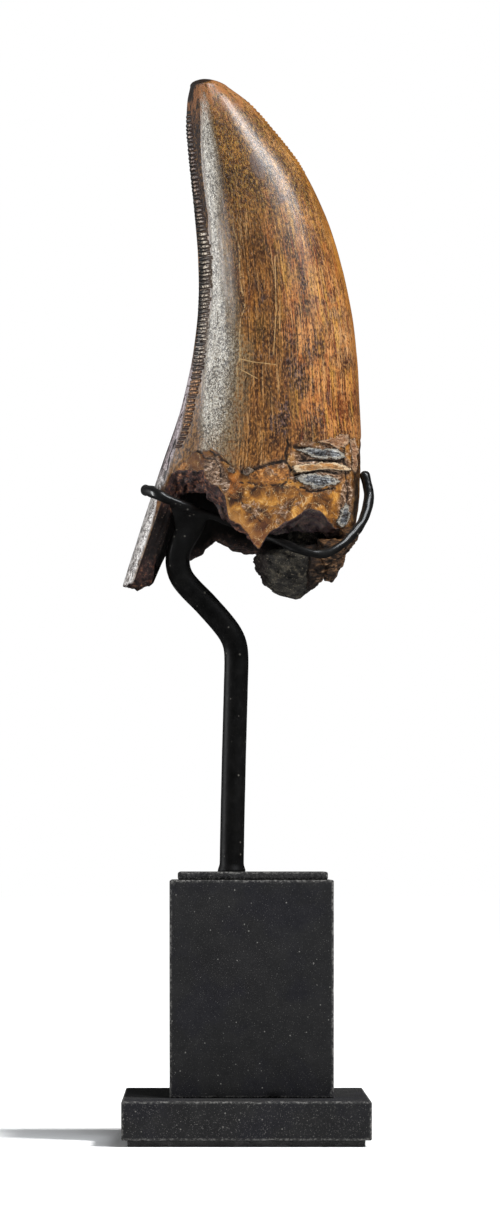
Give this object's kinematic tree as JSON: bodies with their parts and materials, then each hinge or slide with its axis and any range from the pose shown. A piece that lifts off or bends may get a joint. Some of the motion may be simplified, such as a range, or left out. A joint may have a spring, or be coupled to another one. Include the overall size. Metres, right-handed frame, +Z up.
{
  "type": "fossil tyrannosaur tooth on a stand",
  "caption": "Curved serrated fossil tooth with a broken hollow root, cradled by a bent rod and wire above a stepped black stone base.",
  "frame": {"origin": "centre of the base's underside, on the surface that it stands on", "axes": "+Z up along the tooth, +X towards the convex side of the tooth, -Y is the front with the broken root wall"},
  "size_m": [0.0513, 0.05, 0.2176],
  "materials": {
    "fossil_tooth": "satin brown enamel with fine vertical streaks, broken root of amber dentine and dark matrix stone",
    "black_steel": "satin black painted steel rod and hammered wire",
    "black_stone": "honed black stone with faint pale specks",
    "black_felt": "thin black felt"
  },
  "bodies": {
    "root": {"tooth": "fossil_tooth", "rod": "black_steel", "cradle_wire": "black_steel", "cap_plate": "black_stone", "block": "black_stone", "plinth": "black_stone", "foot_pad": "black_felt"}
  },
  "joints": []
}
